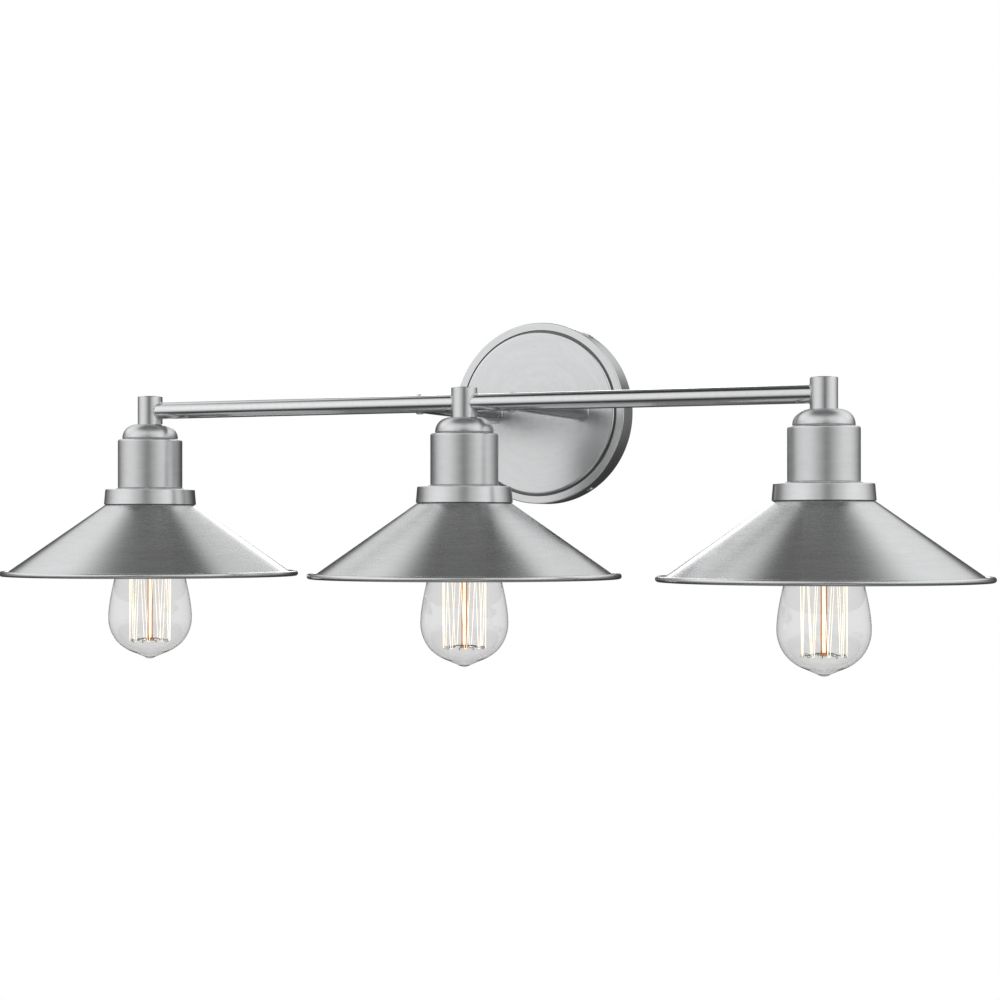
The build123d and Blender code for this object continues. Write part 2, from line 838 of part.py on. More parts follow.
def bulb_base(name, x):
    """The rolled screw base; its round thread is drawn as rings."""
    mean = (base_crest_diameter + base_root_diameter) / 4
    depth = (base_crest_diameter - base_root_diameter) / 4
    half = base_pitch / 2
    thread_top = bulb_top - insulator_height - base_lead
    turns = base_turns
    top_radius = base_root_diameter / 2 - base_top_inset
    skirt = base_skirt_diameter / 2
    inner = base_root_diameter / 2 - base_wall
    last = thread_top - turns * base_pitch
    with BuildPart() as base:
        with BuildSketch(lamp_section(x)):
            with BuildLine():
                Line((top_radius, bulb_top - insulator_height), (mean, thread_top))
                for i in range(2 * turns):
                    z = thread_top - i * half
                    swing = depth if i % 2 == 0 else -depth
                    ThreePointArc((mean, z), (mean + swing, z - half / 2), (mean, z - half))
                Polyline(
                    (mean, last),
                    (skirt, skirt_top - base_wall),
                    (skirt, base_bottom),
                    (skirt - base_wall, base_bottom),
                    (skirt - base_wall, skirt_top - base_lead),
                    (inner, last),
                    (inner, thread_top),
                    (top_radius - base_wall, bulb_top - insulator_height),
                    (top_radius, bulb_top - insulator_height),
                )
            make_face()
        revolve(axis=lamp_axis(x))
    save(base, f"bulb_base_{name}")


def bulb_contact(name, x):
    """The dark glass insulator on the base's end, with the tip contact in its middle."""
    tip = tip_contact_diameter / 2
    top_radius = base_root_diameter / 2 - base_top_inset
    inside = top_radius - base_wall - insulator_gap
    low = bulb_top - insulator_height
    points = [
        (0, bulb_top),
        (tip, bulb_top - tip_contact_height),
        (top_radius, low),
        (inside, low - insulator_lip),
        (0, low - insulator_lip),
    ]
    with BuildPart() as contact:
        with BuildSketch(lamp_section(x)):
            with BuildLine():
                Polyline(*points, close=True)
            make_face()
        revolve(axis=lamp_axis(x))
        with BuildSketch(level(x, low)):
            Circle(2 * top_radius)
            Circle(inside, mode=Mode.SUBTRACT)
        extrude(amount=-2 * insulator_lip, mode=Mode.SUBTRACT)
    save(contact, f"bulb_contact_{name}")


def bulb_mount(name, x):
    """The flared glass stem that seals the neck and carries the filament."""
    r = bulb_neck_diameter / 2 - bulb_glass_wall - mount_seal
    stem_r = mount_stem_diameter / 2
    top = skirt_top - mount_top_below_skirt
    t = mount_flare_thickness
    points = [
        (0, top),
        (r, top),
        (r, top - t),
        (stem_r, top - t - mount_flare_slope),
        (stem_r, top - mount_length),
        (0, top - mount_length),
    ]
    save(turned(x, points, [0, 0, 0, mount_flare_bend, mount_end_edge, 0]), f"bulb_mount_{name}")


def cage_levels():
    low = bulb_tip + cage_bottom_above_tip
    return low, low + cage_height


def filament(name, x):
    """The cage of carbon strands, drawn as separate straight strands."""
    low, high = cage_levels()
    top = cage_top_diameter / 2
    bottom = cage_bottom_diameter / 2
    with BuildPart() as strands:
        for i in range(cage_strands):
            turn = 2 * math.pi * (i + 0.5) / cage_strands
            # neighbouring strands share a hook above or below, so they lean together in pairs
            lean = math.pi / cage_strands * cage_lean * (1 if i % 2 else -1)
            start = Vector(
                x + top * math.cos(turn + lean), -reach + top * math.sin(turn + lean), high
            )
            end = Vector(
                x + bottom * math.cos(turn - lean), -reach + bottom * math.sin(turn - lean), low
            )
            run = end - start
            with BuildSketch(Plane(origin=start, z_dir=run)):
                Circle(strand_diameter / 2)
            extrude(amount=run.length)
    save(strands, f"filament_{name}")


def filament_support(name, x):
    """Two copper rods from the glass stem to a hub, with wire spokes at both ends of the cage."""
    low, high = cage_levels()
    mount_end = skirt_top - mount_top_below_skirt - mount_length
    hub_top = low + hub_height
    clear = strand_diameter
    spokes = cage_strands // 2
    with BuildPart() as support:
        with BuildSketch(level(x, low)):
            Circle(hub_diameter / 2)
        extrude(amount=hub_height)
        for side in (1, -1):
            with BuildSketch(level(x + side * support_rod_spacing / 2, hub_top - hub_overlap)):
                Circle(support_rod_diameter / 2)
            extrude(amount=mount_end - hub_top + hub_overlap)
        for z, reach_out, count in (
            (low + hub_height / 2, cage_bottom_diameter / 2 - clear, spokes),
            (mount_end - top_spokes_drop, cage_top_diameter / 2 - clear, spokes),
        ):
            for i in range(count):
                turn = 2 * math.pi * i / count
                out = (math.cos(turn), math.sin(turn), 0)
                with BuildSketch(Plane(origin=(x, -reach, z), z_dir=out)):
                    Circle(hook_diameter / 2)
                extrude(amount=reach_out)
    save(support, f"filament_support_{name}")


# ================================================================ wiring


def wires(name, lane, distance, nut_x):
    """Three insulated wires of one colour, from the sockets to their wire nut in the canopy."""
    floor = socket_top - socket_cap_height + terminal_head_height + wire_diameter / 2
    floor += wire_over_terminal
    slots = {"left": -wire_slot, "middle": 0.0, "right": wire_slot}
    inner_end = wire_nut_top - wire_nut_depth + wire_end_in_nut
    with BuildPart() as bundle:
        for lamp, x in lamps.items():
            arm_x = arms["right"] if lamp == "right" else arms["left"]
            rise = middle_wire_rise if lamp == "middle" else 0.0
            # the line wires lie outermost in the left arm, so they can run on past the neutrals
            own_lane = -lane if lamp == "middle" else lane
            y = -reach + own_lane
            corner_x = arm_x + (own_lane if lamp != "left" else -own_lane)
            slot = nut_x + slots[lamp]
            turn_z = wire_turn_height + (wire_turn_step if lamp == "middle" else 0.0)
            points = [
                (x + terminal_reach * own_lane, y, floor),
                (x, y, floor + wire_end_rise),
                (x, y, rise),
                (corner_x, y, rise),
                (corner_x, -distance, rise),
                (slot, -distance, turn_z),
                (slot, -distance, inner_end),
            ]
            bends = [wire_end_bend, wire_bend, wire_arm_bend, wire_arm_bend, wire_bend]
            with BuildLine() as route:
                FilletPolyline(*points, radius=bends)
            with BuildSketch(Plane(origin=route.line @ 0, z_dir=route.line % 0)):
                Circle(wire_diameter / 2)
            sweep(path=route.line)
    save(bundle, name)


def wire_nuts():
    """Twist-on connectors: ribbed cones, one for the line wires and one for the neutrals."""
    with BuildPart() as nuts:
        for nut_x, distance in (
            (-wire_nut_offset, line_wire_distance),
            (wire_nut_offset, neutral_wire_distance),
        ):
            with BuildSketch(Plane(origin=(nut_x, -distance, wire_nut_top))):
                Circle(wire_nut_diameter / 2)
            extrude(amount=-wire_nut_length, taper=wire_nut_taper)
            with BuildSketch(Plane(origin=(nut_x, -distance, wire_nut_top))):
                Circle(wire_nut_bore / 2)
            extrude(amount=-wire_nut_depth, mode=Mode.SUBTRACT)
    save(nuts, "wire_nuts")


# ================================================================ the whole light

canopy()
mounting_plate()
canopy_screws()
ground_screw()
for side, place in arms.items():
    arm(side, place)
arm_seat_rings()
arm_nipples()
arm_lock_washers()
arm_nuts()
rod("left", lamps["left"] + rod_seat, lamps["middle"] - rod_seat, arms["left"])
rod("right", lamps["middle"] + rod_seat, lamps["right"] - rod_seat, arms["right"])

for side, place in lamps.items():
    stem(side, place)
    dome(side, place)
    cup(side, place)
    collar(side, place)
    shade(side, place)
    socket_body(side, place)
    screw_shell(side, place)
    bulb_glass(side, place)
    bulb_base(side, place)
    bulb_contact(side, place)
    bulb_mount(side, place)
    filament_support(side, place)
    filament(side, place)

nipples()
nipple_nuts()
socket_caps()
socket_contacts()
terminal_screws()
shade_rings()
wires("line_wires", wire_lane, line_wire_distance, -wire_nut_offset)
wires("neutral_wires", -wire_lane, neutral_wire_distance, wire_nut_offset)
wire_nuts()
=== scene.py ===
import math

import bmesh
import bpy
import numpy as np
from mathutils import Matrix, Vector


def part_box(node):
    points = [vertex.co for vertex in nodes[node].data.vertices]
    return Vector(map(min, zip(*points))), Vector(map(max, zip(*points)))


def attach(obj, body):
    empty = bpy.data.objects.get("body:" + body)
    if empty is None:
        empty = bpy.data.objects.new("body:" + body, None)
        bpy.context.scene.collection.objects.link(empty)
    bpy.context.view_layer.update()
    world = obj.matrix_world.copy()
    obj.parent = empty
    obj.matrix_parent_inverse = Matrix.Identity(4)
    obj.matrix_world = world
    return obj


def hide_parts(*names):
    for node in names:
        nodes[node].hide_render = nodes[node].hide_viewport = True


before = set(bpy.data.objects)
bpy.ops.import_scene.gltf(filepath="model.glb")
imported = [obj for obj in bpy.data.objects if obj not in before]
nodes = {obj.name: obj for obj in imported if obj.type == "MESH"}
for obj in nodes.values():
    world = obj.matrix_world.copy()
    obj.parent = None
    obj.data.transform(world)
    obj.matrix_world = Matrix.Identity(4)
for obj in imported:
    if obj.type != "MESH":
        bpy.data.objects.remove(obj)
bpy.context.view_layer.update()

# A wall light for over a mirror: three cone shades on a rod, two arms and a round canopy.
# Metres, in the model's own frame: +X right, +Y into the wall, +Z up.
scene = bpy.context.scene
lamps = ("left", "middle", "right")
sides = ("left", "right")
mm = 0.001
up = np.array([0.0, 0.0, 1.0])

# ================================================================ studio
# A long lens stands to the right, level with the shades. The room is one large soft tent, bright
# to both sides and dark straight behind the lens, so that turned metal shows upright bands.

camera_place = (0.6256, -1.5760, -0.0937)
camera_turn = 22.95  # degrees, from the wall's own line of sight
lens = bpy.data.cameras.new("lens")
lens.lens = 76.4
lens.sensor_width = 36.0
lens.shift_y = 0.0319
camera = bpy.data.objects.new("camera", lens)
camera.location = camera_place
camera.rotation_euler = (math.radians(90), 0, math.radians(camera_turn))
scene.collection.objects.link(camera)
scene.camera = camera
scene.view_settings.view_transform = "Standard"


class Flow:
    """An output in a node tree. Arithmetic on it adds Math nodes, and node() adds any other."""

    def __init__(self, tree, socket=None):
        self.tree = tree
        self.socket = socket

    def node(self, kind, settings=None, inputs=None, output=0):
        """A new node: its settings are set first, then each input gets a value or a Flow."""
        made = self.tree.nodes.new(kind)
        for key, value in (settings or {}).items():
            setattr(made, key, value)
        for key, value in (inputs or {}).items():
            if isinstance(value, Flow):
                self.tree.links.new(value.socket, made.inputs[key])
            else:
                made.inputs[key].default_value = value
        return Flow(self.tree, made.outputs[output] if made.outputs else None)

    def maths(self, operation, *values):
        return self.node("ShaderNodeMath", {"operation": operation}, dict(enumerate(values)))

    def __add__(self, other):
        return self.maths("ADD", self, other)

    def __radd__(self, other):
        return self.maths("ADD", other, self)

    def __sub__(self, other):
        return self.maths("SUBTRACT", self, other)

    def __rsub__(self, other):
        return self.maths("SUBTRACT", other, self)

    def __mul__(self, other):
        return self.maths("MULTIPLY", self, other)

    def __rmul__(self, other):
        return self.maths("MULTIPLY", other, self)

    def __truediv__(self, other):
        return self.maths("DIVIDE", self, other)

    def step(self, low, high):
        """0 under low and 1 over high, with a smooth rise between them."""
        return self.node(
            "ShaderNodeMapRange",
            {"interpolation_type": "SMOOTHSTEP"},
            {"Value": self, "From Min": low, "From Max": high},
        )

    def along(self, direction):
        """How far this vector reaches in a direction."""
        return self.node(
            "ShaderNodeVectorMath",
            {"operation": "DOT_PRODUCT"},
            {0: self, 1: tuple(direction)},
            output="Value",
        )


heading = math.radians(camera_turn)
world = bpy.data.worlds.new("studio")
world.use_nodes = True
world.node_tree.nodes.clear()
scene.world = world
tent = Flow(world.node_tree)
look = tent.node("ShaderNodeTexCoord", output="Generated")
ahead = look.along((math.sin(heading), -math.cos(heading), 0))
aside = look.along((math.cos(heading), math.sin(heading), 0))
above = look.along((0, 0, 1))
beside = aside.maths("ABSOLUTE", aside)
# upright walls of cloth at both sides, softer towards the lens and gone behind the object
walls = 0.25 * beside.step(0.05, 0.3) + 0.75 * beside.step(0.1, 0.85)
walls = walls * ahead.step(-1.0, 0.3) * above.step(-0.5, 0.05) * (1 - above.step(0.82, 0.88))
# two panels high at the back, with a gap between them that runs on overhead
panels = beside.step(0.1, 0.28) * above.step(0.22, 0.4) * (1 - above.step(0.86, 0.92))
panels = panels * (1 - ahead.step(-0.45, 0.1))
# a box over the lens
box = above.step(0.1, 0.4) * (1 - above.step(0.72, 0.86)) * ahead.step(0.0, 0.5)
box = box * (1 - 0.8 * beside.step(0.2, 0.6))
# a short bright strip low behind the object, for the shades' lips
strip = above.step(0.12, 0.22) * (1 - above.step(0.5, 0.6)) * (1 - ahead.step(-0.85, -0.7))
strip = strip * (1 - beside.step(0.07, 0.14))
# the cloth in the gap overhead, and the sweep under the object, are both dim
roof = above.step(0.6, 0.8) * (1 - beside.step(0.1, 0.3))
sweep = 1 - above.step(-0.95, -0.5)
# a pale table in front of the object, lower than the lens
table = ahead.step(0.2, 0.5) * (1 - above.step(-0.35, -0.12)) * above.step(-0.9, -0.7)
table = table * (1 - beside.step(0.15, 0.35))
tent_light = 0.05 + 1.2 * walls + 0.85 * panels + 0.8 * box + 3.4 * strip + 0.13 * roof
tent_light = tent_light + 0.25 * sweep + 0.4 * table
# the lens sees a white room, a little greyer through the bulbs
seen_in_glass = 0.73
straight = tent.node("ShaderNodeLightPath", output="Is Camera Ray")
through = tent.node("ShaderNodeLightPath", output="Is Transmission Ray")
backdrop = straight.maths("MAXIMUM", straight, through * seen_in_glass)
shown = straight.maths("MAXIMUM", straight, through)
strength = tent_light * (1 - shown) + backdrop
glow = tent.node("ShaderNodeBackground", inputs={"Color": (1, 1, 1, 1), "Strength": strength})
tent.node("ShaderNodeOutputWorld", inputs={"Surface": glow})

floor_drop = 1.45  # below the rod
floor_half = 3.2
floor_mesh = bpy.data.meshes.new("floor")
floor_corners = [
    (x * floor_half, y * floor_half, -floor_drop) for x, y in ((-1, -1), (1, -1), (1, 1), (-1, 1))
]
floor_mesh.from_pydata(floor_corners, [], [(0, 1, 2, 3)])
floor = bpy.data.objects.new("floor", floor_mesh)
scene.collection.objects.link(floor)
paint = bpy.data.materials.new("pale_floor")
paint.use_nodes = True
matt = paint.node_tree.nodes["Principled BSDF"].inputs
matt["Base Color"].default_value = (0.92, 0.92, 0.91, 1)
matt["Roughness"].default_value = 0.8
floor_mesh.materials.append(paint)
floor.visible_glossy = False

# ================================================================ canopy
# A spun steel cup with a raised disc, plated in satin nickel. Four slotted screws hold it by its
# side to the mounting plate, and the arms come through its face.


def rounded(corners, closed=True, steps=7, ease=0.3 * mm):
    """The outline through corners given as (across, along, radius).

    Each corner becomes an arc that touches both its runs. It begins radius / tan(half) from the
    corner, half being half the angle between the runs, and its middle is radius / sin(half) from
    the corner on their bisector. One more point beside each arc keeps the long runs flat.
    """
    spots = np.array([corner[:2] for corner in corners], float)
    outline = []
    for i, (spot, radius) in enumerate(zip(spots, (corner[2] for corner in corners))):
        if radius == 0 or not closed and i in (0, len(corners) - 1):
            outline.append(spot)
            continue
        back, on = spots[i - 1] - spot, spots[(i + 1) % len(spots)] - spot
        back_length, on_length = np.linalg.norm(back), np.linalg.norm(on)
        back, on = back / back_length, on / on_length
        half = 0.5 * math.acos(np.clip(back @ on, -1, 1))
        reach = radius / math.tan(half)
        bisector = (back + on) / np.linalg.norm(back + on)
        middle = spot + bisector * radius / math.sin(half)
        start = spot + back * reach - middle
        sweep = math.pi - 2 * half
        sweep *= -1 if back[0] * on[1] - back[1] * on[0] > 0 else 1
        angles = np.linspace(0, sweep, steps)
        arc = np.stack(
            [
                start[0] * np.cos(angles) - start[1] * np.sin(angles),
                start[0] * np.sin(angles) + start[1] * np.cos(angles),
            ],
            axis=1,
        )
        outline.append(spot + back * min(reach + ease, 0.45 * back_length + 0.55 * reach))
        outline.extend(middle + arc)
        outline.append(spot + on * min(reach + ease, 0.45 * on_length + 0.55 * reach))
    return np.array(outline)


def skin(name, grid, closed=True):
    """A smooth mesh over a grid of points, rows by columns. Columns always join up round the
    piece, rows only where it is closed, and a row that shrinks to a point becomes one vertex."""
    rows, columns = grid.shape[:2]
    index = np.arange(rows * columns).reshape(rows, columns)
    here = index if closed else index[:-1]
    there = np.roll(index, -1, axis=0)[: len(here)]
    quads = np.stack([here, np.roll(here, -1, 1), np.roll(there, -1, 1), there], axis=-1)
    mesh = bpy.data.meshes.new(name)
    mesh.from_pydata(grid.reshape(-1, 3), [], quads.reshape(-1, 4).tolist())
    merged = bmesh.new()
    merged.from_mesh(mesh)
    bmesh.ops.remove_doubles(merged, verts=merged.verts, dist=1e-6)
    bmesh.ops.recalc_face_normals(merged, faces=merged.faces)
    merged.to_mesh(mesh)
    merged.free()
    mesh.shade_smooth()
    piece = bpy.data.objects.new(name, mesh)
    scene.collection.objects.link(piece)
    return piece


def turned(name, outline, centre, axis=(0, 0, 1), around=160, closed=True):
    """A piece of revolution: centre + along * axis + across * (cos, sin of the angle round it)."""
    axis = np.array(axis, float)
    first = np.array([0.0, 0.0, 1.0]) if axis[0] or axis[1] else np.array([1.0, 0.0, 0.0])
    second = np.cross(axis, first)
    angle = np.linspace(0, 2 * math.pi, around, endpoint=False)[None, :, None]
    across, along = outline[:, 0][:, None, None], outline[:, 1][:, None, None]
    ring = np.cos(angle) * first + np.sin(angle) * second
    return skin(name, np.array(centre) + across * ring + along * axis, closed)


def principled(flow, normal=None, **values):
    """The surface shader, with constants and Flows on its own sockets."""
    inputs = {key.replace("_", " "): value for key, value in values.items()}
    if normal:
        inputs["Normal"] = normal
    shader = flow.node("ShaderNodeBsdfPrincipled", inputs=inputs)
    flow.node("ShaderNodeOutputMaterial", inputs={"Surface": shader})
    return shader


def mixed(flow, factor, first, second):
    """The first colour where factor is 0, and the second where it is 1."""
    return flow.node(
        "ShaderNodeMix",
        {"data_type": "RGBA"},
        {"Factor": factor, 6: (*first, 1), 7: (*second, 1)},
        output=2,
    )


def dimmed(colour, share):
    return tuple(share * level for level in colour)


def finish(name):
    """A new material with an empty node tree, and a Flow to write it with."""
    material = bpy.data.materials.new(name)
    material.use_nodes = True
    material.node_tree.nodes.clear()
    return material, Flow(material.node_tree)


def grain(flow, axis, centre, streak, width, detail=4.0):
    """Noise drawn out around an axis, as a brush leaves it on a turning piece.

    The place round the axis is a unit vector times 1 / streak, so that one streak is that share
    of the radius long, and the place along the surface is (along - 0.7 across) / width.
    """
    spot = flow.node("ShaderNodeTexCoord", output="Object")
    spot = flow.node(
        "ShaderNodeVectorMath", {"operation": "SUBTRACT"}, {0: spot, 1: tuple(centre)}
    )
    axis = np.array(axis, float)
    along = spot.along(axis)
    flat = flow.node(
        "ShaderNodeVectorMath", {"operation": "MULTIPLY"}, {0: spot, 1: tuple(1 - abs(axis))}
    )
    across = flow.node(
        "ShaderNodeVectorMath", {"operation": "LENGTH"}, {0: flat}, output="Value"
    )
    ring = flow.node("ShaderNodeVectorMath", {"operation": "NORMALIZE"}, {0: flat})
    ring = flow.node(
        "ShaderNodeVectorMath", {"operation": "SCALE"}, {0: ring, "Scale": 1 / streak}
    )
    level = (along - 0.7 * across) / width
    lift = flow.node("ShaderNodeVectorMath", {"operation": "SCALE"}, {0: tuple(axis), "Scale": level})
    place = flow.node("ShaderNodeVectorMath", {"operation": "ADD"}, {0: ring, 1: lift})
    return flow.node(
        "ShaderNodeTexNoise",
        {"noise_dimensions": "3D"},
        {"Vector": place, "Scale": 1.0, "Detail": detail, "Roughness": 0.6},
    )


nickel_colour = (0.60, 0.605, 0.61)


def nickel(name, axis, centre, rough=0.26, bow=0.0, depth=0.003 * mm, width=0.3 * mm, tone=1.0):
    """Brushed nickel: a brush has left fine rings round the axis, and bow is how much more it
    scatters light across the rings than along them. A tone under 1 darkens the colour: the
    canopy's groove uses it for painted shade."""
    material, flow = finish(name)
    fine = grain(flow, axis, centre, streak=0.10, width=width)
    broad = grain(flow, axis, centre, streak=0.5, width=12 * width, detail=2.0)
    worn, bright = dimmed(nickel_colour, 0.95 * tone), dimmed(nickel_colour, 1.04 * tone)
    colour = mixed(flow, (0.6 * fine + 0.4 * broad).step(0.35, 0.65), worn, bright)
    bump = flow.node(
        "ShaderNodeBump", inputs={"Strength": 1.0, "Distance": depth, "Height": fine}
    )
    principled(
        flow,
        bump,
        Base_Color=colour,
        Metallic=1.0,
        Roughness=rough + 0.08 * (fine - 0.5) + 0.05 * (broad - 0.5),
        Anisotropic=bow,
        Anisotropic_Rotation=0.25,
    )
    return material


def coat(piece, material):
    """The piece takes this one material in every slot."""
    piece.data.materials.clear()
    piece.data.materials.append(material)


low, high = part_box("canopy")
canopy_radius = high.x
canopy_face = -low.y
disc_rise = 2.5 * mm
canopy_ring = canopy_face - disc_rise  # the ring round the disc lies this far from the wall
ring_width = 7.5 * mm
disc_radius = canopy_radius - ring_width
sheet = 1.2 * mm
disc_edge = 1.5 * mm
groove = 1.0 * mm  # a turned line round the disc's foot
canopy_outline = rounded(
    [
        (canopy_radius, 0, 0.3 * mm),
        (canopy_radius, canopy_ring, 0.8 * mm),
        (disc_radius + 1.5 * groove, canopy_ring, 0.25 * mm),
        (disc_radius + 1.2 * groove, canopy_ring - groove, 0.1 * mm),
        (disc_radius, canopy_ring - groove, 0.1 * mm),
        (disc_radius, canopy_face, disc_edge),
        (0, canopy_face, 0),
        (0, canopy_face - sheet, 0),
        (disc_radius - sheet, canopy_face - sheet, 0.3 * mm),
        (disc_radius - sheet, canopy_ring - sheet, 0.2 * mm),
        (canopy_radius - sheet, canopy_ring - sheet, 0.3 * mm),
        (canopy_radius - sheet, 0, 0.3 * mm),
    ]
)
canopy = turned("canopy_shell", canopy_outline, (0, 0, 0), axis=(0, -1, 0), around=256)
coat(canopy, nickel("satin_nickel_canopy", (0, 1, 0), (0, 0, 0), rough=0.24, depth=0.002 * mm))
# the groove's faces are painted darker, as painted shade in the recess, and are rougher
canopy.data.materials.append(nickel("painted_shade_groove", (0, 1, 0), (0, 0, 0), rough=0.4, tone=0.3))
middles = np.empty(3 * len(canopy.data.polygons))
canopy.data.polygons.foreach_get("center", middles)
middles = middles.reshape(-1, 3)
across = np.hypot(middles[:, 0], middles[:, 2])
depth = canopy_ring + middles[:, 1]
# painted shade: the faces inside the groove take the darker material
groove_shade = (across > disc_radius) & (depth > 0.1 * mm) & (depth < groove + 0.1 * mm)
groove_shade &= across < disc_radius + 1.5 * groove
canopy.data.polygons.foreach_set("material_index", groove_shade.astype(np.int32))
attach(canopy, "root")
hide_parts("canopy")

side_screws = nickel("nickel_screws", (0, 1, 0), (0, 0, 0), rough=0.22, depth=0.003 * mm)
coat(nodes["canopy_screws"], side_screws)

# ================================================================ mounting plate and its nuts
# Pressed steel, plated with zinc, with the threaded tubes, split washers and nuts of the arms.
# They are inside the canopy. The screw for the earth wire is dyed green.


def plated(name, colour, rough, speckle=0.4 * mm):
    """Bright plating on pressed steel: a fine crystal speckle in tint, gloss and height."""
    material, flow = finish(name)
    spot = flow.node("ShaderNodeTexCoord", output="Object")
    spots = flow.node(
        "ShaderNodeTexNoise",
        inputs={"Vector": spot, "Scale": 1 / speckle, "Detail": 3.0},
    )
    tint = mixed(flow, spots.step(0.3, 0.7), dimmed(colour, 0.85), colour)
    bump = flow.node(
        "ShaderNodeBump", inputs={"Strength": 0.6, "Distance": 0.01 * mm, "Height": spots}
    )
    principled(flow, bump, Base_Color=tint, Metallic=1.0, Roughness=rough + 0.15 * (spots - 0.5))
    return material


zinc = plated("zinc_plate", (0.60, 0.61, 0.62), 0.32)
for name in ("mounting_plate", "arm_nipples", "arm_lock_washers", "arm_nuts", "nipple_nuts"):
    coat(nodes[name], zinc)
coat(nodes["ground_screw"], plated("green_zinc", (0.06, 0.30, 0.12), 0.3))
brass = plated("turned_brass", (0.72, 0.52, 0.24), 0.25)
for name in ("stem_nipples", "terminal_screws", "socket_contacts"):
    coat(nodes[name], brass)

# ================================================================ rod
# Two lengths of nickel-plated tube, brazed into the stems. Each is open at its back where the
# wires go into an arm.

rod_low, rod_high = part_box("rod_right")
rod_radius = (rod_high.z - rod_low.z) / 2
reach = -(rod_low.y + rod_high.y) / 2  # from the wall to the rod's own line
rod_wall = 1.2 * mm
for side in sides:
    low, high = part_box(f"rod_{side}")
    tube = rounded(
        [
            (rod_radius, low.x, 0.15 * mm),
            (rod_radius, high.x, 0.15 * mm),
            (rod_radius - rod_wall, high.x, 0.15 * mm),
            (rod_radius - rod_wall, low.x, 0.15 * mm),
        ]
    )
    rod = turned(f"rod_tube_{side}", tube, (0, -reach, 0), axis=(1, 0, 0), around=96)
    coat(rod, nickel(f"nickel_rod_{side}", (1, 0, 0), (0, -reach, 0), 0.15, 0, 0.004 * mm, 0.3 * mm))
    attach(rod, "root")
    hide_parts(f"rod_{side}")

# ================================================================ arms
# Two short tubes of the same stock, coped to the rod's back and brazed to it. A thin turned ring
# closes the joint between each arm and the canopy's face.


def coped_tube(name, x, start, radius, wall, rod_radius, around=96, rows=24):
    """A tube along Y whose far end follows a rod along X.

    At the angle a round the tube it ends where z = radius * sin(a) meets the rod, which is at
    sqrt(rod_radius^2 - z^2) behind the rod's own line.
    """
    angle = np.linspace(0, 2 * math.pi, around, endpoint=False)[None, :]
    share = np.linspace(0, 1, rows)[:, None]
    walls = []
    for r, run in ((radius, share), (radius - wall, share[::-1])):
        z = r * np.sin(angle)
        end = np.sqrt(np.maximum(rod_radius**2 - z**2, 0)) - reach
        y = start + run * (end - start)
        walls.append(np.stack([x + r * np.cos(angle) + 0 * run, y, z + 0 * run], axis=-1))
    return skin(name, np.concatenate(walls))


arm_x = {}
for side in sides:
    low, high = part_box(f"arm_{side}")
    arm_x[side] = (low.x + high.x) / 2
    arm = coped_tube(f"arm_tube_{side}", arm_x[side], high.y, rod_radius, rod_wall, rod_radius)
    centre = (arm_x[side], 0, 0)
    coat(arm, nickel(f"nickel_arm_{side}", (0, 1, 0), centre, 0.2, 0, 0.008 * mm, 0.3 * mm))
    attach(arm, "root")
    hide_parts(f"arm_{side}")
coat(nodes["arm_seat_rings"], nickel("nickel_seat_rings", (0, 1, 0), (0, 0, 0), rough=0.15))

# ================================================================ stems
# Short solid stubs, turned from bar and bored across for the rod, with the end of each rod
# brazed in.

lamp_x = {}
for lamp in lamps:
    low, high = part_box(f"stem_{lamp}")
    lamp_x[lamp] = (low.x + high.x) / 2
    centre = (lamp_x[lamp], -reach, 0)
    coat(nodes[f"stem_{lamp}"], nickel(f"nickel_stem_{lamp}", (0, 0, 1), centre, 0.3, 0.5))
stem_radius = (high.x - low.x) / 2

# ================================================================ brazed joints
# Filler metal has run round each joint in an uneven bead, and was left as it set under the plate.


def bead(name, path, outward, across, thick, seed):
    """A closed bead along a path: a round of radius thick times a sum of slow sines.

    outward and across are the two directions that the round is drawn in at each point.
    """
    chance = np.random.default_rng(seed)
    share = np.linspace(0, 2 * math.pi, len(path), endpoint=False)
    lumps = sum(
        chance.uniform(0.05, 0.16) * np.sin(k * share + chance.uniform(0, 6.3))
        for k in (2, 3, 5, 7, 11, 16)
    )
    size = (thick * (1 + lumps))[:, None, None]
    angle = np.linspace(0, 2 * math.pi, 12, endpoint=False)[None, :, None]
    ring = np.cos(angle) * outward[:, None] + np.sin(angle) * across[:, None]
    return skin(name, path[:, None] + size * ring)


arm_fillet, stem_fillet = 1.1 * mm, 0.5 * mm
braze = nickel("brazed_nickel", (0, 0, 1), (0, 0, 0), rough=0.3, depth=0.01 * mm)
angle = np.linspace(0, 2 * math.pi, 144, endpoint=False)
ring_x, ring_z = np.cos(angle), np.sin(angle)
level = np.zeros_like(angle)
for i, side in enumerate(sides):
    # round the arm's end: behind the rod's line by its own radius times the cosine
    behind = rod_radius * np.sqrt(ring_x**2 + 0.01)
    path = np.stack([arm_x[side] + rod_radius * ring_x, behind - reach, rod_radius * ring_z], 1)
    outward = np.stack([ring_x, level, ring_z], 1)
    across = np.stack([level, level + 1, level], 1)
    joint = bead(f"arm_braze_{side}", path, outward, across, arm_fillet, seed=11 + i)
    coat(joint, braze)
    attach(joint, "root")

for i, (lamp, way) in enumerate((("left", 1), ("middle", -1), ("middle", 1), ("right", -1))):
    # round the rod where it enters the stem's side
    y, z = rod_radius * ring_x, rod_radius * ring_z
    out = np.sqrt(stem_radius**2 - y**2)
    path = np.stack([lamp_x[lamp] + way * out, y - reach, z], 1)
    outward = np.stack([level, ring_x, ring_z], 1)
    across = np.stack([level + way, level, level], 1)
    joint = bead(f"stem_braze_{i + 1}", path, outward, across, stem_fillet, seed=31 + i)
    coat(joint, braze)
    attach(joint, "root")

# ================================================================ dome caps
# Spun caps with a wide round shoulder. The threaded tube pulls each one up against its stem.

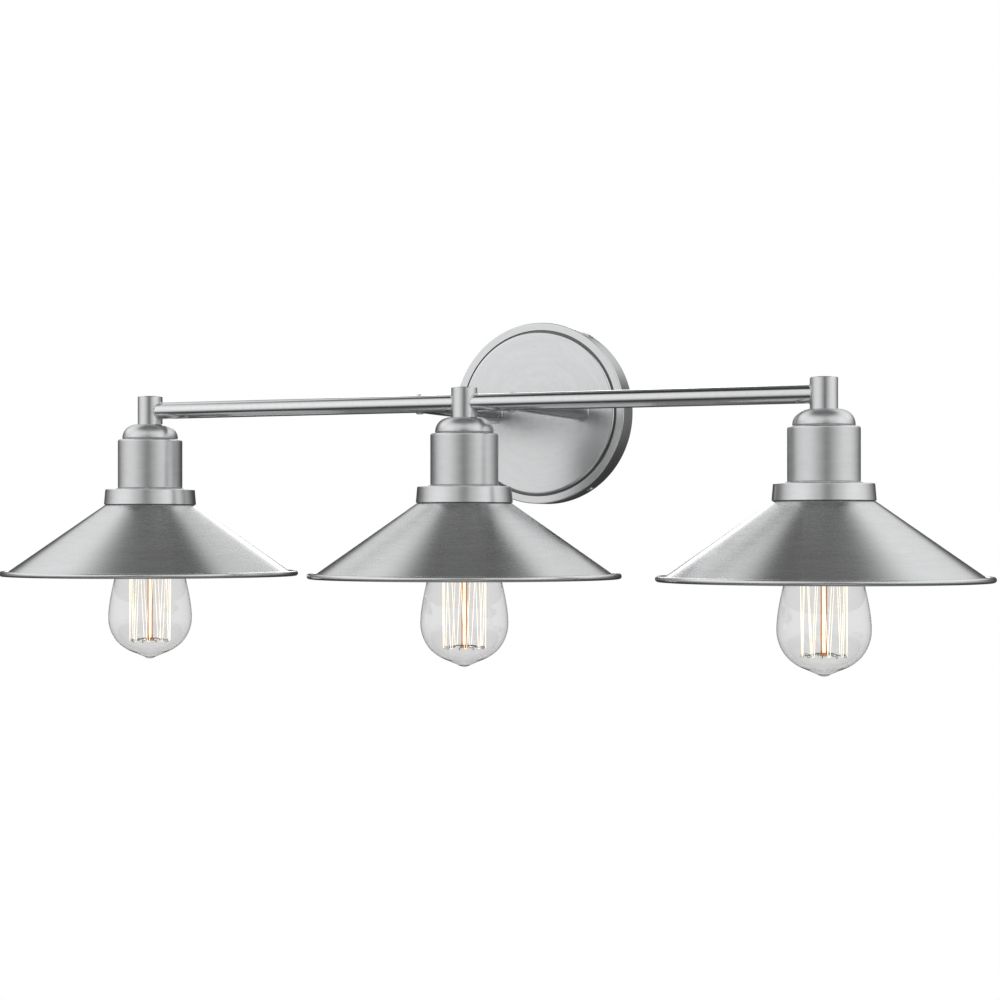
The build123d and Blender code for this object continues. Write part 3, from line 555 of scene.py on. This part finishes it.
stem_hole = 4.95 * mm
foot_step = 1.0 * mm
foot_height = 0.7 * mm
for lamp in lamps:
    low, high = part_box(f"dome_cap_{lamp}")
    centre = (lamp_x[lamp], -reach, 0)
    radius = (high.x - low.x) / 2
    foot = radius - foot_step
    dome_bottom = low.z + foot_height
    shoulder = high.z - dome_bottom - 0.4 * mm
    outline = rounded(
        [
            (stem_hole, high.z, 0.2 * mm),
            (radius, high.z, shoulder),
            (radius, dome_bottom, 0.15 * mm),
            (foot, dome_bottom, 0.1 * mm),
            (foot, low.z, 0.1 * mm),
            (foot - sheet, low.z, 0.2 * mm),
            (foot - sheet, high.z - sheet, shoulder - foot_step - sheet),
            (stem_hole, high.z - sheet, 0.2 * mm),
        ],
        steps=17,
    )
    dome = turned(f"dome_{lamp}", outline, centre)
    coat(dome, nickel(f"nickel_dome_{lamp}", (0, 0, 1), centre, 0.35, 0.5))
    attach(dome, "root")
    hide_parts(f"dome_cap_{lamp}")

# ================================================================ socket cups
# Drawn cylinders over the sockets. Each has a fine groove and a thin turned foot at its mouth.

cup_foot_lip = 1.25 * mm
cup_groove_depth, cup_groove_width = 0.6 * mm, 0.4 * mm
cup_foot_height = 0.8 * mm
for lamp in lamps:
    low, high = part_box(f"socket_cup_{lamp}")
    centre = (lamp_x[lamp], -reach, 0)
    foot = (high.x - low.x) / 2
    radius = foot - cup_foot_lip
    neck = radius - cup_groove_depth
    heel = low.z + cup_foot_height
    outline = rounded(
        [
            (stem_hole, high.z, 0.2 * mm),
            (radius, high.z, 1.6 * mm),
            (radius, heel + cup_groove_width, 0.25 * mm),
            (neck, heel + cup_groove_width, 0.05 * mm),
            (neck, heel, 0.05 * mm),
            (foot, heel, 0.2 * mm),
            (foot, low.z, 0.2 * mm),
            (radius - sheet, low.z, 0.3 * mm),
            (radius - sheet, high.z - sheet, 0.4 * mm),
            (stem_hole, high.z - sheet, 0.2 * mm),
        ]
    )
    cup = turned(f"cup_{lamp}", outline, centre)
    coat(cup, nickel(f"nickel_cup_{lamp}", (0, 0, 1), centre, 0.37, 0.5))
    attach(cup, "root")
    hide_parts(f"socket_cup_{lamp}")

# ================================================================ shade collars
# Shallow spun caps, a little wider at the bottom, that hide each shade's neck.

collar_flare = 1.0 * mm
collar_hole = 20.3 * mm
for lamp in lamps:
    low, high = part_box(f"shade_collar_{lamp}")
    centre = (lamp_x[lamp], -reach, 0)
    wide = (high.x - low.x) / 2
    narrow = wide - collar_flare
    outline = rounded(
        [
            (collar_hole, high.z, 0.2 * mm),
            (narrow, high.z, 0.9 * mm),
            (wide, low.z, 0.25 * mm),
            (wide - sheet, low.z, 0.25 * mm),
            (narrow - sheet, high.z - sheet, 0.3 * mm),
            (collar_hole, high.z - sheet, 0.2 * mm),
        ]
    )
    collar = turned(f"collar_{lamp}", outline, centre, around=192)
    coat(collar, nickel(f"nickel_collar_{lamp}", (0, 0, 1), centre, 0.3, 0.6))
    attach(collar, "root")
    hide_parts(f"shade_collar_{lamp}")

# ================================================================ shades
# Spun steel cones with a short flat lip, and a rim rolled round a wire. The collar and a notched
# ring on the socket clamp each one by its neck.

rim = 112.3 * mm  # the middle of the rolled bead
bead_radius = 2.0 * mm
metal = 1.0 * mm
neck = 32.6 * mm
lip_width, lip_drop = 4.8 * mm, 1.6 * mm
collar_gap = 0.1 * mm
for lamp in lamps:
    low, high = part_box(f"shade_{lamp}")
    collar_low, collar_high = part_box(f"shade_collar_{lamp}")
    centre = (lamp_x[lamp], -reach, 0)
    rim_height = low.z + bead_radius
    touch = (collar_high.x - collar_low.x) / 2 - sheet
    cone_top = collar_low.z - collar_gap
    cone_end = rim - lip_width
    cone_bottom = rim_height + lip_drop
    slope = (cone_top - cone_bottom) / (cone_end - touch)
    neck_foot = cone_top + (touch - neck) * slope
    under = metal * math.hypot(1, slope)
    lean = metal * (math.hypot(1, slope) - slope)
    shoulder = rounded(
        [
            (collar_hole, high.z, 0),
            (neck, high.z, 1.5 * mm),
            (neck, neck_foot, 0.6 * mm),
            (cone_end, cone_bottom, 3.0 * mm),
            (rim - bead_radius, rim_height, 0),
        ],
        closed=False,
    )
    # the rim's round starts where the lip's upper side meets it and ends at the lip's under side
    roll = np.radians(np.linspace(176, -150, 40))
    roll = np.stack([rim + bead_radius * np.cos(roll), rim_height + bead_radius * np.sin(roll)], 1)
    inside = rounded(
        [
            (rim - bead_radius, rim_height - metal, 0),
            (cone_end - lean, cone_bottom - metal, 3.0 * mm),
            (neck - metal, neck_foot - under + metal * slope, 0.6 * mm),
            (neck - metal, high.z - metal, 0.5 * mm),
            (collar_hole, high.z - metal, 0),
        ],
        closed=False,
    )
    outline = np.concatenate([shoulder[:-1], roll, inside[1:]])
    shade = turned(f"shade_cone_{lamp}", outline, centre, around=288)
    coat(shade, nickel(f"spun_nickel_{lamp}", (0, 0, 1), centre, 0.27, 0.75, 0.009 * mm, 0.5 * mm))
    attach(shade, "root")
    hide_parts(f"shade_{lamp}")

# ================================================================ sockets
# Glazed porcelain bodies with black moulded caps and clamping rings, and a plated screw shell
# in each.


def moulded(name, colour, rough, coat_weight, dimple=1.5 * mm):
    """A moulded or glazed surface: a slight orange peel, and a tint that wanders by a few percent."""
    material, flow = finish(name)
    spot = flow.node("ShaderNodeTexCoord", output="Object")
    peel = flow.node(
        "ShaderNodeTexNoise", inputs={"Vector": spot, "Scale": 1 / dimple, "Detail": 2.0}
    )
    tint = mixed(flow, peel.step(0.3, 0.7), dimmed(colour, 0.93), colour)
    bump = flow.node(
        "ShaderNodeBump", inputs={"Strength": 0.3, "Distance": 0.05 * mm, "Height": peel}
    )
    principled(
        flow,
        bump,
        Base_Color=tint,
        Roughness=rough + 0.1 * (peel - 0.5),
        Coat_Weight=coat_weight,
    )
    return material


porcelain = moulded("glazed_porcelain", (0.84, 0.82, 0.77), 0.3, 0.6)
phenolic = moulded("black_phenolic", (0.02, 0.02, 0.022), 0.4, 0.1)
shell_metal = plated("shell_nickel", (0.66, 0.64, 0.60), 0.28)
for lamp in lamps:
    coat(nodes[f"socket_body_{lamp}"], porcelain)
    coat(nodes[f"screw_shell_{lamp}"], shell_metal)
coat(nodes["socket_caps"], phenolic)
coat(nodes["shade_rings"], phenolic)

# ================================================================ wiring
# Stranded copper in plastic sleeves: black for the line, white for the neutral. Orange twist-on
# connectors join them in the canopy.

coat(nodes["line_wires"], moulded("black_sleeve", (0.02, 0.02, 0.02), 0.45, 0.0))
coat(nodes["neutral_wires"], moulded("white_sleeve", (0.80, 0.80, 0.78), 0.45, 0.0))
coat(nodes["wire_nuts"], moulded("orange_connector", (0.75, 0.22, 0.03), 0.35, 0.2))

# ================================================================ bulb glass
# A blown teardrop of clear glass. Its neck is cemented into the base, and the tube that emptied
# it was sealed off at the bottom in a small pip.


def glass(name, rough=0.0):
    """Clear glass, with no tint of its own."""
    material, flow = finish(name)
    principled(
        flow,
        Base_Color=(1, 1, 1, 1),
        Roughness=rough,
        IOR=1.5,
        Transmission_Weight=1.0,
    )
    return material


def flowing(spots, slopes, steps=24):
    """A smooth outline through spots, leaving each along its slope: cubic Hermite spans, whose
    slopes are scaled by the span's length."""
    spots, slopes = np.array(spots, float), np.array(slopes, float)
    slopes = slopes / np.linalg.norm(slopes, axis=1, keepdims=True)
    t = np.linspace(0, 1, steps)[None, :, None]
    length = np.linalg.norm(spots[1:] - spots[:-1], axis=1)[:, None, None]
    start, end = spots[:-1, None], spots[1:, None]
    leave, arrive = slopes[:-1, None] * length, slopes[1:, None] * length
    line = start * (2 * t**3 - 3 * t**2 + 1) + leave * (t**3 - 2 * t**2 + t)
    line = line + end * (3 * t**2 - 2 * t**3) + arrive * (t**3 - t**2)
    return np.concatenate([line[:, :-1].reshape(-1, 2), spots[-1:]])


clear = glass("clear_blown_glass")
pressed = glass("pressed_glass", rough=0.02)
glass_wall = 0.8 * mm
glass_neck = 12.8 * mm
pip, pip_height = 4.4 * mm, 1.5 * mm
for lamp in lamps:
    low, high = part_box(f"bulb_glass_{lamp}")
    centre = (lamp_x[lamp], -reach, 0)
    radius = (high.x - low.x) / 2
    widest = low.z + 31.6 * mm
    neck_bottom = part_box(f"bulb_base_{lamp}")[0].z - 1.0 * mm
    pip_top = low.z + pip_height
    drop = neck_bottom - widest
    swell = radius - glass_neck

    def envelope(inset):
        """The outline from the neck down to the pip, set in by a wall."""
        spots = [
            (glass_neck - inset, high.z),
            (glass_neck - inset, neck_bottom),
            (glass_neck + 0.29 * swell - inset, neck_bottom - 0.29 * drop),
            (glass_neck + 0.77 * swell - inset, neck_bottom - 0.625 * drop),
            (radius - inset, widest),
            (0.815 * radius - 0.9 * inset, low.z + 14.5 * mm + 0.5 * inset),
            (0.6 * radius - 0.6 * inset, low.z + 8.3 * mm + 0.8 * inset),
            (0.31 * radius - 0.4 * inset, low.z + 3.9 * mm + inset),
            (pip - 0.4 * inset, pip_top + inset),
        ]
        slopes = [(0, -1), (0, -1), (0.2, -1), (0.21, -1), (0, -1)]
        slopes += [(-0.75, -1), (-1, -0.68), (-1, -0.43), (-1, -0.42)]
        return flowing(spots, slopes, steps=16)

    tip = flowing(
        [(pip, pip_top), (0.5 * pip, low.z + 0.45 * mm), (0, low.z)],
        [(-1, -0.42), (-1, -0.4), (-1, 0)],
        steps=12,
    )
    inner_tip = flowing(
        [(0, pip_top + 0.5 * glass_wall), (pip - 0.4 * glass_wall, pip_top + glass_wall)],
        [(1, 0), (1, 0.42)],
        steps=12,
    )
    outline = np.concatenate([envelope(0)[:-1], tip, inner_tip[:-1], envelope(glass_wall)[::-1]])
    bulb = turned(f"glass_{lamp}", outline, centre, around=128)
    coat(bulb, clear)
    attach(bulb, f"bulb_{lamp}")
    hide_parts(f"bulb_glass_{lamp}")
    coat(nodes[f"bulb_mount_{lamp}"], pressed)

# ================================================================ bulb bases
# Thin nickel-plated brass, rolled to a right-handed thread and crimped to the glass. Black glass
# closes the end round the tip contact, and a drop of solder holds the second wire.

thread_pitch = 3.629 * mm
root_radius, crest_radius = 12.4 * mm, 13.1 * mm
crimp = 0.6 * mm  # how far the top edge is pressed in over the glass
base_wall = 0.4 * mm
base_metal = plated("base_nickel", (0.62, 0.60, 0.57), 0.22)
for lamp in lamps:
    low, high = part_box(f"bulb_base_{lamp}")
    skirt = (high.x - low.x) / 2
    middle = (root_radius + crest_radius) / 2
    depth = (crest_radius - root_radius) / 2
    thread_top = high.z - 1.0 * mm
    thread_bottom = thread_top - 5 * thread_pitch
    skirt_top = low.z + 5.0 * mm
    # down the outside and back up the inside: radius, height, and how much of the thread shows
    rows = 90
    height = np.linspace(thread_top, thread_bottom, rows)
    fade = np.minimum(1, np.minimum(np.arange(rows), np.arange(rows)[::-1]) / 9)
    outside = np.stack([np.full(rows, middle), height, fade * depth], 1)
    top = [(root_radius - crimp, high.z, 0)]
    foot = [
        (middle, thread_bottom - 0.2 * mm, 0),
        (skirt, skirt_top - 0.4 * mm, 0),
        (skirt, skirt_top - 0.6 * mm, 0),
        (skirt, low.z + 0.2 * mm, 0),
        (skirt, low.z, 0),
        (skirt - base_wall, low.z, 0),
        (skirt - base_wall, skirt_top - 1.0 * mm, 0),
        (root_radius - base_wall, thread_bottom, 0),
        (root_radius - base_wall, thread_top, 0),
        (root_radius - crimp - base_wall, high.z, 0),
    ]
    section = np.array([*top, *outside, *foot])
    angle = np.linspace(0, 2 * math.pi, 96, endpoint=False)[None, :]
    # a right-handed thread climbs as the angle grows
    wave = np.cos(2 * math.pi * section[:, 1:2] / thread_pitch - angle)
    radius = section[:, 0:1] + section[:, 2:3] * wave
    grid = np.stack(
        [
            lamp_x[lamp] + radius * np.cos(angle),
            radius * np.sin(angle) - reach,
            section[:, 1:2] + 0 * angle,
        ],
        axis=-1,
    )
    base = skin(f"screw_base_{lamp}", grid)
    coat(base, base_metal)
    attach(base, f"bulb_{lamp}")
    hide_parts(f"bulb_base_{lamp}")

contact_metal, flow = finish("insulator_and_tip")
spot = flow.node("ShaderNodeTexCoord", output="Object")
tip_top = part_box("bulb_contact_middle")[1].z
tip_height = 1.05 * mm
metal_part = (spot.along(up) - (tip_top - tip_height)).step(0, 0.1 * mm)
tint = mixed(flow, metal_part, (0.012, 0.012, 0.015), (0.62, 0.58, 0.5))
principled(flow, Base_Color=tint, Metallic=metal_part, Roughness=0.12 + 0.2 * metal_part)
for lamp in lamps:
    coat(nodes[f"bulb_contact_{lamp}"], contact_metal)

# ================================================================ filament
# A carbon thread, looped down and up round the cage between two stars of wire hooks. The hooks
# are set in a glass rod that hangs from the bulb's mount, with a copper wire down each side.


def tube(name, path, across, radius, closed=False, around=8):
    """A round wire along a path. across is a direction at each point that isn't the path's own,
    and the round is drawn in it and in its cross product with the path's direction."""
    ahead = np.roll(path, -1, 0) - np.roll(path, 1, 0) if closed else np.gradient(path, axis=0)
    ahead = ahead / np.linalg.norm(ahead, axis=1, keepdims=True)
    first = across - (across * ahead).sum(1, keepdims=True) * ahead
    first = first / np.linalg.norm(first, axis=1, keepdims=True)
    second = np.cross(ahead, first)
    angle = np.linspace(0, 2 * math.pi, around, endpoint=False)[None, :, None]
    ring = np.cos(angle) * first[:, None] + np.sin(angle) * second[:, None]
    size = np.full(len(path), radius)
    if not closed:
        path = np.concatenate([path[:1], path, path[-1:]])
        ring = np.concatenate([ring[:1], ring, ring[-1:]])
        size = np.concatenate([[0], size, [0]])
    return skin(name, path[:, None] + size[:, None, None] * ring, closed)


def hot(name, colour, strength):
    """Something that glows, in patches a little redder than the rest."""
    material, flow = finish(name)
    spot = flow.node("ShaderNodeTexCoord", output="Object")
    uneven = flow.node("ShaderNodeTexNoise", inputs={"Vector": spot, "Scale": 90.0})
    cooler = (colour[0], 0.88 * colour[1], 0.7 * colour[2])
    tint = mixed(flow, uneven.step(0.35, 0.65), cooler, colour)
    principled(
        flow,
        Base_Color=(*colour, 1),
        Roughness=0.5,
        Emission_Color=tint,
        Emission_Strength=strength,
    )
    return material


hook_curl, hook_size = 0.9 * mm, 0.22 * mm
hook_count = 9


def spokes(name, x, height, reach_out, start, dip):
    """A star of hooks. Each leaves the rod at start, waves by a sine on its way out, and ends in
    a curl of three quarters of a turn that holds the thread."""
    share = np.linspace(0, 1, 24)
    out = start + share * (reach_out - start)
    rise = dip * np.sin(2 * math.pi * share)
    turn = np.linspace(0.5 * math.pi, -1.0 * math.pi, 16)
    out = np.concatenate([out[:-1], reach_out + hook_curl * np.cos(turn)])
    rise = np.concatenate([rise[:-1], hook_curl * np.sin(turn) - hook_curl])
    wires = []
    for i in range(hook_count):
        angle = 2 * math.pi * i / hook_count
        away = np.array([math.cos(angle), math.sin(angle), 0.0])
        path = np.array([x, -reach, height]) + out[:, None] * away + rise[:, None] * up
        side = np.tile(np.cross(up, away), (len(path), 1))
        wires.append(tube(f"{name}_{i + 1}", path, side, hook_size, around=6))
    return wires


strands = 2 * hook_count
turn_share = 0.06  # of a strand's run, spent in the loop round a hook
strand_size = 0.22 * mm
cage_top, cage_bottom = 16.0 * mm, 15.5 * mm
loop_height = 0.8 * mm
hub_radius, hub_height, hub_edge = 3.2 * mm, 2.4 * mm, 0.9 * mm
carbon = hot("glowing_carbon", (1.0, 0.93, 0.79), 1.15)
# the glass rod glows too: painted light, standing in for the filament's light on it
painted_glow_rod = hot("painted_glow_glass_rod", (1.0, 0.94, 0.82), 0.95)
copper = plated("copper_wire", (0.80, 0.36, 0.14), 0.3)
hook_wire = plated("hook_wire", (0.22, 0.21, 0.20), 0.4)
for lamp in lamps:
    low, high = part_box(f"filament_{lamp}")
    rod_low, rod_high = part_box(f"filament_support_{lamp}")
    x = lamp_x[lamp]
    # one loop down and up takes two strands; the angle creeps on, and hurries round each hook
    s = np.linspace(0, strands, strands * 60 + 1)
    strand = np.floor(np.minimum(s, strands - 1e-9))
    f = s - strand
    down = np.where(strand % 2 == 0, 1.0, -1.0)
    run = np.clip(f / (1 - turn_share), 0, 1)
    loop = np.clip((f - (1 - turn_share)) / turn_share, 0, 1)
    level = 0.5 + down * (0.5 - run)  # 1 at the top, 0 at the bottom
    pitch_angle = 2 * math.pi / strands
    angle = pitch_angle * (strand + 0.7 * run + 0.3 * loop)
    radius = cage_bottom + (cage_top - cage_bottom) * level
    height = low.z + loop_height + (high.z - low.z - 2 * loop_height) * level
    height = height - down * loop_height * np.sin(math.pi * loop)
    away = np.stack([np.cos(angle), np.sin(angle), 0 * angle], 1)
    path = np.array([x, -reach, 0]) + radius[:, None] * away + height[:, None] * up
    thread = tube(f"carbon_thread_{lamp}", path, away, strand_size)
    coat(thread, carbon)
    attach(thread, f"bulb_{lamp}")
    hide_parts(f"filament_{lamp}")

    hub_low = rod_low.z
    hub_middle, hub_high = hub_low + hub_height / 2, hub_low + hub_height
    hub = rounded(
        [
            (0, hub_low, 0),
            (hub_radius, hub_low, hub_edge),
            (hub_radius, hub_high, hub_edge),
            (0, hub_high, 0),
        ],
        closed=False,
    )
    support = turned(f"glass_hub_{lamp}", hub, (x, -reach, 0), around=32, closed=False)
    coat(support, copper)
    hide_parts(f"filament_support_{lamp}")
    pieces = [support]
    heights = np.linspace(hub_middle, rod_high.z, 12)
    for name, offset, size, material in (
        ("support_rod", 0, 1.1 * mm, painted_glow_rod),
        ("support_wire_a", 1.8 * mm, 0.5 * mm, copper),
        ("support_wire_b", -1.8 * mm, 0.5 * mm, copper),
    ):
        path = np.array([x + offset, -reach, 0]) + heights[:, None] * up
        wire = tube(f"{name}_{lamp}", path, np.tile([1.0, 0, 0], (12, 1)), size, around=16)
        coat(wire, material)
        pieces.append(wire)
    lower_reach, upper_reach = cage_bottom - hook_curl, cage_top - hook_curl
    hooks = spokes(f"lower_hook_{lamp}", x, hub_middle, lower_reach, 2.0 * mm, 0.7 * mm)
    hooks += spokes(f"upper_hook_{lamp}", x, high.z - 1.4 * mm, upper_reach, 1.0 * mm, 0.3 * mm)
    for hook in hooks:
        coat(hook, hook_wire)
    for piece in pieces + hooks:
        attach(piece, f"bulb_{lamp}")
